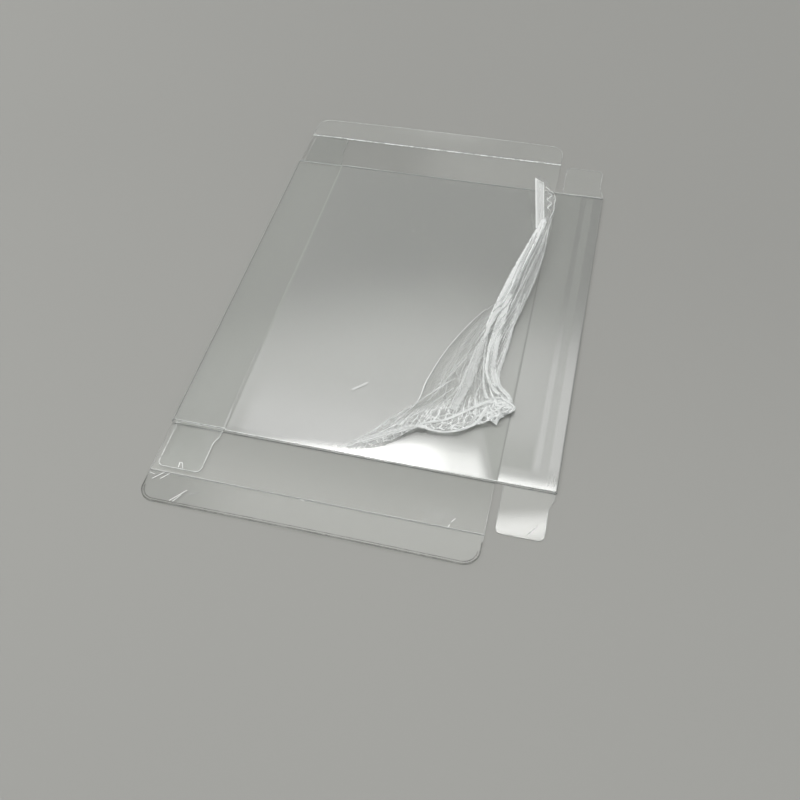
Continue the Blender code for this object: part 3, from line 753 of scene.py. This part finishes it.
# Folds of the film that stand out in the photograph: lift above the film in mm, whiteness, crumple height in mm,
# brightness of the long edges, how calm it is, and the path as rows of (px, py, width in mm).
FOLDS = {
    "core": (0.5, 0.76, 0.12, 0.3, 0.9, (
        (546, 215, 2.4), (540.5, 228, 3.8), (533.5, 241, 4.6), (524.5, 258, 5.2), (514.5, 276, 5.2), (505, 294, 4.4),
        (497, 310, 3.2), (489, 326, 2), (482, 343, 0.9),
    )),
    "core_left": (0.75, 1, 0.15, 0.2, 0.9, (
        (541, 223, 0.9), (531, 240, 1.2), (521, 257, 1.4), (510.5, 276, 1.4), (500, 296, 1.2), (491, 315, 0.9),
        (485, 330, 0.6),
    )),
    "core_line": (0.7, 1, 0.15, 0.2, 0.9, (
        (545, 221, 1), (537.5, 238, 1.2), (529, 255, 1.3), (518, 275, 1.2), (508, 293, 1), (498, 312, 0.8),
    )),
    "veil": (0.25, 0.24, 0.3, 0.9, 0.9, (
        (550.5, 214, 1.8), (546.5, 228, 3.2), (541.5, 246, 4.2), (535.5, 264, 5.2), (527, 285, 5.6), (518, 306, 4.8),
        (510, 326, 3),
    )),
    "veil_line": (0.5, 0.75, 0.2, 0.1, 0.8, (
        (548, 226, 0.5), (542, 244, 0.7), (533, 262, 0.8), (524, 281, 0.9), (514, 300, 0.8), (506, 318, 0.7),
    )),
    "veil_edge": (0.4, 0.5, 0.15, 0.1, 0.8, (
        (552.5, 215, 0.5), (548.5, 229, 0.6), (545.5, 246, 0.6), (541, 262, 0.6), (533, 283, 0.7), (525, 302, 0.6),
    )),
    "right_fill": (0.2, 0.86, 0.3, 0.6, 0.8, (
        (512, 290, 2.4), (505, 308, 3.4), (499, 326, 3.8), (495, 344, 3.8), (492.5, 362, 3.4), (493, 376, 3.2),
        (496, 389, 3.4),
    )),
    "right_a": (0.5, 0.88, 0.35, 0.3, 0.55, (
        (521, 298, 1.6), (514, 318, 2), (508, 341, 2.2), (501, 362, 2), (498, 376, 1.9), (500, 386, 1.9),
        (507.5, 394.5, 2.2), (512.5, 402, 1.8),
    )),
    "right_b": (0.6, 0.92, 0.3, 0.2, 0.75, (
        (507, 298, 1), (497, 322, 1.3), (490.5, 343, 1.5), (487, 362, 1.5), (487.5, 375, 1.4), (492.5, 387, 1.6),
        (502, 396, 1.9),
    )),
    "right_c": (0.4, 0.85, 0.25, 0.2, 0.7, (
        (500, 303, 0.7), (489, 330, 0.9), (485, 352, 0.9), (483.5, 378, 0.9), (485, 392, 1.4), (488, 400, 1.8),
    )),
    "right_d": (0.5, 0.7, 0.2, 0.2, 0.7, (
        (526, 290, 0.7), (519.5, 310, 0.8), (511, 332, 0.9), (504, 357, 0.9), (499.5, 370, 0.9),
    )),
    "pale": (0.3, 0.56, 0.3, 0.5, 0.9, (
        (487, 332, 2), (479, 349, 3.6), (474, 362, 4.6), (466, 383, 4.8), (457, 402, 3.4), (452, 411, 2),
    )),
    "pale_line": (0.5, 0.65, 0.2, 0.1, 0.8, (
        (484, 336, 0.5), (474, 353, 0.6), (464, 378, 0.7), (454, 398, 0.7), (449, 410, 0.6),
    )),
    "fan_a": (0.3, 0.6, 0.2, 0.1, 0.6, (
        (480, 345, 0.4), (466, 358, 0.5), (449, 376, 0.6), (437, 391, 0.6), (425, 403, 0.5),
    )),
    "fan_b": (0.3, 0.7, 0.25, 0.1, 0.6, (
        (458, 376, 0.6), (443, 385, 0.7), (426, 396, 0.8), (407, 411, 0.7), (392, 424, 0.6),
    )),
    "fan_c": (0.3, 0.6, 0.2, 0.1, 0.6, (
        (462, 383, 0.5), (448, 398, 0.6), (435, 410, 0.6), (424, 420, 0.5),
    )),
    "fan_d": (0.3, 0.65, 0.2, 0.1, 0.6, (
        (470, 386, 0.4), (460, 402, 0.5), (452, 414, 0.5),
    )),
    "fan_e": (0.3, 0.6, 0.2, 0.1, 0.6, (
        (483, 380, 0.4), (474, 396, 0.6), (467, 409, 0.5),
    )),
    "fan_f": (0.3, 0.5, 0.15, 0.1, 0.7, (
        (471, 350, 0.4), (455, 366, 0.4), (441, 381, 0.4), (431, 393, 0.4),
    )),
    "fan_g": (0.3, 0.6, 0.2, 0.1, 0.7, (
        (456, 386, 0.4), (440, 397, 0.5), (424, 408, 0.5), (410, 419, 0.4),
    )),
    "fan_h": (0.3, 0.55, 0.3, 0.1, 0.5, (
        (444, 392, 0.4), (450, 401, 0.5), (461, 407, 0.5),
    )),
    "fan_i": (0.3, 0.55, 0.3, 0.1, 0.5, (
        (432, 401, 0.4), (440, 409, 0.5), (450, 413, 0.5),
    )),
    "fan_j": (0.3, 0.4, 0.2, 0.1, 0.5, (
        (455, 369, 0.3), (462, 381, 0.4), (472, 390, 0.4),
    )),
    "hem_tail": (0.25, 0.66, 0.45, 0.3, 0.3, (
        (344, 446.5, 0.8), (356, 442.5, 1.8), (370, 438, 3.2), (386, 433.5, 3.4), (402, 428.5, 2.8),
        (418, 424.5, 1.6),
    )),
    "hem_low": (0.45, 1, 0.35, 0.2, 0.8, (
        (412, 425.5, 1.2), (421, 425.5, 1.7), (432, 429.5, 1.1), (444, 431.2, 1.1), (456, 430.2, 1.2),
        (467, 427, 1.3), (477, 421.5, 1.5), (484, 412, 1.8), (489, 404, 1.7),
    )),
    "hem_high": (0.55, 1, 0.35, 0.1, 0.75, (
        (414, 425.5, 1), (430, 421.5, 1.3), (444, 419.5, 1.3), (456, 415, 1.2), (466, 410.5, 1.3), (477, 405.5, 1.5),
        (486, 402, 1.6), (494, 401, 1.5),
    )),
    "hem_lens": (0.15, 0.4, 0.4, 0.4, 0, (
        (424, 425.5, 1.2), (440, 425.5, 4.6), (455, 422.5, 6.4), (468, 417.5, 6.2), (479, 411, 4.2), (487, 405, 2),
    )),
    "tail": (0.2, 0.7, 0.3, 0.1, 0.3, (
        (352, 441.5, 0.6), (366, 434.5, 0.8), (378, 427, 0.9), (390, 419.5, 0.9), (400, 412.5, 1), (414, 403.5, 0.9),
    )),
    "tail_mid": (0.25, 0.5, 0.35, 0.1, 0.3, (
        (366, 440, 0.7), (380, 432, 0.9), (396, 424, 1), (412, 416, 0.9), (428, 407, 0.7),
    )),
    "tail_end": (0.05, 0.3, 0.3, 0.2, 0, (
        (336, 446.5, 0.9), (348, 443.5, 2.2), (362, 439, 4), (378, 432, 5), (394, 423, 4.4),
    )),
    "clump_d": (1.4, 1, 0.5, 0.3, 0.5, (
        (490, 397, 0.8), (501, 397.5, 1.2), (509, 402, 1.2), (514.5, 407, 0.9), (509, 413, 1.2),
    )),
    "squiggle": (0.6, 0.08, 0.25, 0.9, 1, (
        (546, 187, 1.4), (549.8, 195, 3.6), (549.8, 204, 3.6), (549, 212, 3), (547, 219, 1.8),
    )),
    "squiggle_rim": (0.8, 0.85, 0.15, 0.2, 0.9, (
        (545, 185.5, 0.4), (550, 190, 0.4), (554.6, 194.5, 0.4), (554.6, 204, 0.4), (553, 212, 0.5), (549, 219, 0.5),
    )),
    "squiggle_curl": (0.8, 0.95, 0.1, 0.2, 1, (
        (547, 192, 0.5), (552, 195, 0.5), (547.5, 199, 0.5), (551.5, 203, 0.5), (548, 207, 0.5), (551, 211, 0.5),
    )),
}

FOLD_STEP = 0.00035
FOLD_ACROSS = 13
# The lowest that a loose strip and the knot may reach, just above the top panel.
FOLD_FLOOR = 0.0016
WAD_FLOOR = 0.0014


def make_folds(film_points, material):
    """Narrow crumpled strips of the same film, laid over its surface where the photograph shows folds."""
    seen = [to_pixel(p) for p in film_points]
    points, faces, layout, covers, calms = [], [], [], [], []
    for k, (lift, white, crumple, edge, calm, path) in enumerate(FOLDS.values()):
        controls = []
        for i, (px, py, width) in enumerate(path):
            best = min(range(len(seen)), key=lambda j: (seen[j][0] - px) ** 2 + (seen[j][1] - py) ** 2)
            place = at_pixel(px, py, film_points[best][2] + lift * 0.001)
            controls.append((i / (len(path) - 1), place.x, place.y, place.z, width * 0.001))
        length = sum((Vector(a[1:4]) - Vector(b[1:4])).length for a, b in zip(controls, controls[1:]))
        steps = max(12, int(length / FOLD_STEP))
        faces += grid_faces(steps + 1, FOLD_ACROSS, len(points))
        for i in range(steps + 1):
            t = i / steps
            x, y, z, width = curve(controls, t)
            ahead = curve(controls, min(1.0, t + 0.01))
            behind = curve(controls, max(0.0, t - 0.01))
            tangent = Vector((ahead[0] - behind[0], ahead[1] - behind[1], 0.0)).normalized()
            side = Vector((tangent.y, -tangent.x, 0.0))
            ends = smoothstep(t / 0.06) * smoothstep((1.0 - t) / 0.06)
            width *= 0.35 + 0.65 * ends
            width *= 1.0 + 0.18 * noise.noise(Vector((t * length * 700.0, k * 3.7, 0.0)))
            for j in range(FOLD_ACROSS):
                v = j / (FOLD_ACROSS - 1) * 2.0 - 1.0
                ruck = noise.noise(Vector((v * width * 900.0, t * length * 420.0, k * 5.1)))
                ruck += 0.5 * noise.noise(Vector((v * width * 2200.0, t * length * 1300.0, k * 2.3)))
                rise = crumple * 0.001 * ruck - 0.0004 * v * v
                offset = side * (v * width / 2 + 0.00025 * ruck)
                points.append((x + offset.x, y + offset.y, max(z + rise, FOLD_FLOOR)))
                layout.append((k * 3.0 + v * width / 0.040, t * length / 0.17))
                fringe = smoothstep((1.0 - abs(v)) / 0.22)
                covers.append(max(0.0, white * ends * (fringe + edge * (1.0 - fringe))))
                calms.append(calm)
    return finish_film_mesh("film_folds", points, faces, layout, covers, calms, material)


# The crumpled knot at the hem's right end: its outline in the photograph, around its middle.
WAD_MIDDLE = (497.0, 407.5)
WAD_OUTLINE = (
    (515.0, 406.8), (509.5, 401.5), (501.0, 396.8), (491.5, 397.2), (484.5, 402.0), (481.5, 408.0), (482.5, 414.5),
    (488.0, 419.5), (492.5, 422.5), (496.8, 425.6), (499.5, 419.0), (502.5, 415.8), (509.5, 413.8), (514.5, 409.8),
)
WAD_SEAT = (494.0, 405.0)
WAD_AROUND = 84
WAD_RINGS = 16


def make_wad(film_points, material):
    """A knot of film that the folds run into, with sharp facets."""
    seen = [(to_pixel(p), p[2]) for p in film_points]
    base = min(seen, key=lambda q: (q[0][0] - WAD_SEAT[0]) ** 2 + (q[0][1] - WAD_SEAT[1]) ** 2)[1]
    corners = len(WAD_OUTLINE)
    points, faces, layout, covers = [], [], [], []
    for k in range(WAD_AROUND):
        t = k / WAD_AROUND * corners
        i = int(t)
        a, b = WAD_OUTLINE[i % corners], WAD_OUTLINE[(i + 1) % corners]
        f = t - i
        rim = (a[0] + (b[0] - a[0]) * f, a[1] + (b[1] - a[1]) * f)
        for j in range(WAD_RINGS):
            r = (j + 0.15) / (WAD_RINGS - 0.85)
            px = WAD_MIDDLE[0] + (rim[0] - WAD_MIDDLE[0]) * r
            py = WAD_MIDDLE[1] + (rim[1] - WAD_MIDDLE[1]) * r
            fold = abs(noise.noise(Vector((px * 0.16 + py * 0.10, py * 0.24, 5.0))))
            small = abs(noise.noise(Vector((px * 0.45, py * 0.50 - px * 0.2, 9.0))))
            rise = (1.0 - r * r) ** 0.5 * (0.0012 - 0.0032 * fold - 0.0014 * small)
            place = at_pixel(px, py, base * (1.0 - 0.5 * r ** 3) + rise)
            points.append((place.x, place.y, max(place.z, WAD_FLOOR)))
            layout.append((90.0 + k * 0.004, j * 0.01))
            covers.append(1.0 if j < WAD_RINGS - 1 else 0.7)
            if j:
                a0, b0 = k * WAD_RINGS + j - 1, (k + 1) % WAD_AROUND * WAD_RINGS + j - 1
                faces.append((a0, a0 + 1, b0 + 1, b0))
    faces.append(tuple(k * WAD_RINGS for k in range(WAD_AROUND - 1, -1, -1)))
    return finish_film_mesh("film_wad", points, faces, layout, covers, [0.97] * len(points), material, smooth=False)


RIBBON_ROWS = 61
RIBBON_ACROSS = 13


def make_ribbon(material):
    """The end of the film, a flat strip that stands up from the bundle over the far edge."""
    points, layout, covers = [], [], []
    for i in range(RIBBON_ROWS):
        t = i / (RIBBON_ROWS - 1)
        for j in range(RIBBON_ACROSS):
            v = j / (RIBBON_ACROSS - 1)
            px = 535.2 + 8.8 * v + 0.5 * (1.0 - t)
            py = 228.0 - 50.5 * t + 5.5 * v * smoothstep((t - 0.9) / 0.1)
            place = at_pixel(px, py, 0.0048 + 0.0078 * t)
            fold = 0.00008 * math.sin(v * 9.0 + 2.0 * t) + 0.0001 * noise.noise(Vector((v * 5.0, t * 14.0, 2.0)))
            points.append((place.x, place.y - fold, place.z + fold))
            layout.append((70.0 + v * 0.16, t * 0.15))
            rim = bump_at(v, 0.02, 0.12) + bump_at(v, 0.96, 0.10)
            covers.append(min(1.0, 0.62 + 0.38 * rim + 0.3 * bump_at(t, 0.99, 0.03)))
    faces = grid_faces(RIBBON_ROWS, RIBBON_ACROSS)
    return finish_film_mesh("film_tip", points, faces, layout, covers, [1.0] * len(points), material)


FILM_ROWS = 230
STUCK_COLUMNS = 12
FOLDED_COLUMNS = 250
FILM_MARGIN = 0.0012
CLEAR_COVER = 0.025


def make_film():
    points, layout, covers, calms = [], [], [], []
    left = SCORE_LEFT + FILM_MARGIN
    for j in range(FILM_ROWS):
        row = NEAR_ROW + (FAR_ROW - NEAR_ROW) * j / (FILM_ROWS - 1)
        front = film_place(row, 0.0)
        for k in range(STUCK_COLUMNS):
            share = 1.0 - (1.0 - k / STUCK_COLUMNS) ** 2.4
            x = left + (front[0] - left) * share
            points.append((x, front[1], top_mid(x + HALF_SPAN, front[1] + HALF_LENGTH) + SLEEVE_TOP))
            layout.append((-0.6 * (1.0 - share), row))
            covers.append(CLEAR_COVER)
            calms.append(1.0)
        for k in range(FOLDED_COLUMNS):
            u = k / (FOLDED_COLUMNS - 1)
            points.append(film_place(row, u))
            layout.append((u, row))
            covers.append(film_cover(row, u))
            calms.append(1.0 - 0.95 * smoothstep(u / 0.05) * (1.0 - 0.85 * smoothstep((row - 0.42) / 0.15)))
    material = film_material()
    faces = grid_faces(FILM_ROWS, STUCK_COLUMNS + FOLDED_COLUMNS)
    obj = finish_film_mesh("film", points, faces, layout, covers, calms, material)
    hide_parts("protective_film")
    folds = make_folds(points, material)
    ribbon = make_ribbon(material)
    wad = make_wad(points, material)


def painted_edge_light_material():
    """Painted light along a cut or scored edge: a whitish painted highlight where cover is above 0, and painted shade
    where the edge turns light aside, below 0.
    """
    material, n = new_material("cut_edge_painted_light")
    cover = n.attribute("cover")
    uneven = n.step(n.noise(n.place(), 420.0, 2.0), 0.30, 0.65, 0.55, 1.0)
    dark = n.times(n.math("MAXIMUM", n.times(cover, -1.0), 0.0), uneven)
    clear = n.shader("ShaderNodeBsdfTransparent", Color=n.mix_colour(dark, grey(1.0), grey(0.30, 0.0, -0.01)))
    white = n.shader("ShaderNodeBsdfPrincipled", Base_Color=(0.94, 0.96, 0.95, 1.0), Roughness=0.35)
    n.show(n.mix_shader(n.times(n.math("MAXIMUM", cover, 0.0), uneven), clear, white))
    return material


def outline_edges(node):
    """The upper outline of a CAD node: for each edge its two ends and the way to the inside."""
    mesh = nodes[node].data
    key = [tuple(round(c * 1e6) for c in v.co) for v in mesh.vertices]
    sides = {}
    for polygon in mesh.polygons:
        kind = "top" if polygon.normal.z > 0.9 else "side" if abs(polygon.normal.z) < 0.5 else "other"
        ids = list(polygon.vertices)
        for a, b in zip(ids, ids[1:] + ids[:1]):
            found = (kind, polygon.center.copy(), mesh.vertices[a].co.copy(), mesh.vertices[b].co.copy())
            sides.setdefault(tuple(sorted((key[a], key[b]))), []).append(found)
    edges = []
    for found in sides.values():
        tops = [f for f in found if f[0] == "top"]
        if len(tops) != 1 or not any(f[0] == "side" for f in found):
            continue
        _, center, a, b = tops[0]
        along = (b - a).normalized()
        inward = (center - a) - along * (center - a).dot(along)
        if inward.length > 1e-7:
            edges.append((a, b, inward.normalized()))
    return edges


RIM_LIFT = Vector((0.0, 0.0, 0.00001))


def make_rim(node, body, material, strips):
    """Narrow strips of painted highlight and painted shade along a node's upper outline. Each strip is (start, stop,
    strength): the distances in mm inside the outline, and a function from a point to the strip's strength there."""
    points, faces, values = [], [], []
    for a, b, inward in outline_edges(node):
        for start, stop, strength in strips:
            if strength((a + b) / 2) == 0.0:
                continue
            first = len(points)
            for end, far in ((a, start), (b, start), (b, stop), (a, stop)):
                points.append(end + RIM_LIFT + inward * (far * 0.001))
                values.append(strength(end))
            faces.append((first, first + 1, first + 2, first + 3))
    rim = bpy.data.meshes.new(node + "_rim")
    rim.from_pydata(points, [], faces)
    add_values(rim, "cover", values)
    rim.materials.append(material)
    obj = bpy.data.objects.new(node + "_rim", rim)
    scene.collection.objects.link(obj)
    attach(obj, body)


# What lies higher than this belongs to the tube's upper layer, and a rim counts as on an edge this near to it.
UPPER_HEIGHT = 0.0007
EDGE_REACH = 0.0012


def tube_end_painted_highlight(p):
    """Painted highlight along the cut ends of the upper layer."""
    if p.z < UPPER_HEIGHT or abs(p.y) < HALF_LENGTH - EDGE_REACH:
        return 0.0
    if p.y < 0.0:
        return 0.70 if p.x > SCORE_LEFT - 0.002 else 0.40
    return 0.45 if p.x < -0.035 else 0.50 if p.x > SCORE_RIGHT else 0.18


def tube_fold_painted_shade(p):
    """Painted shade along the right edge, where the glued fold's rounded outside turns light aside."""
    if p.z < UPPER_HEIGHT or p.x < HALF_SPAN - EDGE_REACH:
        return 0.0
    return -0.302 - 0.684 * smoothstep((0.06 - p.y) / 0.08)


def split_at(limit, beyond, before=0.0):
    """A strength for points nearer than y = limit, and another for the rest."""
    return lambda p: beyond if p.y < limit else before


def make_rims():
    material = painted_edge_light_material()
    # Strips of painted highlight (strength above 0) and painted shade (below 0) along the edges; the two dark strips
    # of the near lip are painted shadow lines.
    rims = {
        "sleeve": ("tube", [(0.0, 0.40, tube_end_painted_highlight), (0.0, 0.60, tube_fold_painted_shade)]),
        "near_left_dust_flap": ("near_left_dust", [(0.0, 0.32, split_at(-0.089, 0.80, 0.35))]),
        "far_left_dust_flap": ("far_left_dust", [(0.0, 0.25, lambda p: 0.18)]),
        "near_right_dust_flap": ("near_right_dust", [(0.0, 0.28, lambda p: 0.22)]),
        "far_right_dust_flap": ("far_right_dust", [(0.0, 0.32, lambda p: 0.42)]),
        "near_tuck_flap": ("near_tuck", [
            (0.0, 0.80, split_at(-0.0895, 0.0, -0.10)),
            (0.0, 0.45, split_at(-0.0895, 0.32)),
        ]),
        "near_tuck_lip": ("near_lip", [
            (0.0, 0.35, split_at(-0.1135, 0.0, 0.22)),
            (0.0, 0.50, split_at(-0.1135, -0.55)),
            (0.95, 1.40, split_at(-0.1180, -0.42)),
        ]),
        "far_tuck_flap": ("far_tuck", [
            (0.0, 0.95, split_at(0.109, 0.0, 0.85)),
            (0.0, 0.25, split_at(0.100, 0.15)),
        ]),
        "far_tuck_lip": ("far_lip", [(0.0, 0.30, split_at(0.1150, 0.15, 0.45))]),
    }
    for node, (body, strips) in rims.items():
        make_rim(node, body, material, strips)


# A hair below the undersides, which would otherwise lie in the same plane.
FLOOR_HEIGHT = -0.00003


def make_floor():
    bpy.ops.mesh.primitive_plane_add(size=8.0, location=(0.0, 0.0, FLOOR_HEIGHT))
    floor = bpy.context.object
    floor.name = "floor"
    material, n = new_material("grey_table")
    place = n.place()
    tone = n.mix_colour(n.noise(place, 3.0, 2.0), grey(0.327, 0.0, -0.012), grey(0.348, 0.0, -0.015))
    # Painted light: the table is a little paler towards the near side.
    paler = n.step(n.parts(place)[1], 0.12, -0.16, 1.035, 1.130)
    colour = n.vector("SCALE", tone, scale=paler)
    n.show(n.shader("ShaderNodeBsdfPrincipled", Base_Color=colour, Roughness=0.9, Specular_IOR_Level=0.1))
    floor.data.materials.append(material)


GLOW_STRENGTH = 5.0
GLOW_RISE = math.radians(83.0)
GLOW_TURN = math.radians(-14.0)
GLOW_CORE = math.radians(8.0)
GLOW_REACH = math.radians(20.0)
LAMP_PLACE = Vector((-0.85, 0.10, 0.90))
LAMP_SIZE = 0.35
LAMP_RADIANCE = 8.0


def make_light():
    """A room that is darker near the horizon and pale above, with a glow overhead and a soft lamp from the left."""
    world = bpy.data.worlds.new("studio")
    world.use_nodes = True
    world.node_tree.nodes.clear()
    n = Nodes(world.node_tree)
    way = n.place("Generated")
    east, north, up = n.parts(way)
    rise = n.math("ARCSINE", up)
    facing = n.math("ARCTAN2", east, north)
    # The pale part lies behind the object, and its lower limit rises a little to the right.
    away = n.minus(1.0, n.math("COSINE", n.plus(facing, math.radians(15.0))))
    side = n.math("MAXIMUM", n.minus(1.0, n.times(away, 2.0)), 0.35)
    later = n.times(n.math("MAXIMUM", n.plus(facing, math.radians(12.0)), 0.0), 0.08)
    strength = n.times(n.step(n.minus(rise, later), math.radians(43.8), math.radians(50.5), 0.0, 0.80), side)
    strength = n.plus(strength, n.step(rise, math.radians(26.0), math.radians(37.0), 0.58, 0.24))
    flat = math.cos(GLOW_RISE)
    center = (flat * math.sin(GLOW_TURN), flat * math.cos(GLOW_TURN), math.sin(GLOW_RISE))
    near = n.vector("DOT_PRODUCT", way, center, output=1)
    glow = n.step(near, math.cos(GLOW_REACH), math.cos(GLOW_CORE), 0.0, GLOW_STRENGTH)
    # Seen from above, the glossy sheet mirrors the zenith, where the glow would drown it.
    mirrored = n.add("ShaderNodeLightPath").outputs["Is Glossy Ray"]
    zenith = n.step(rise, math.radians(74.5), math.radians(84.0))
    glow = n.times(glow, n.minus(1.0, n.times(mirrored, zenith)))
    sky = n.shader("ShaderNodeBackground", Color=grey(1.0, 0.0, -0.015), Strength=n.plus(strength, glow))
    n.tree.links.new(sky, n.add("ShaderNodeOutputWorld").inputs["Surface"])
    scene.world = world

    lamp = bpy.data.lights.new("soft_lamp", "AREA")
    lamp.shape = "RECTANGLE"
    lamp.size = lamp.size_y = LAMP_SIZE
    lamp.energy = LAMP_RADIANCE * math.pi * LAMP_SIZE * LAMP_SIZE
    obj = bpy.data.objects.new("soft_lamp", lamp)
    scene.collection.objects.link(obj)
    obj.location = LAMP_PLACE
    obj.rotation_euler = (-LAMP_PLACE).to_track_quat("-Z", "Y").to_euler()


make_camera()
make_floor()
make_light()
dress_sheets()
make_rims()
make_film()

scene.cycles.transparent_max_bounces = 32
scene.view_settings.view_transform = "Standard"
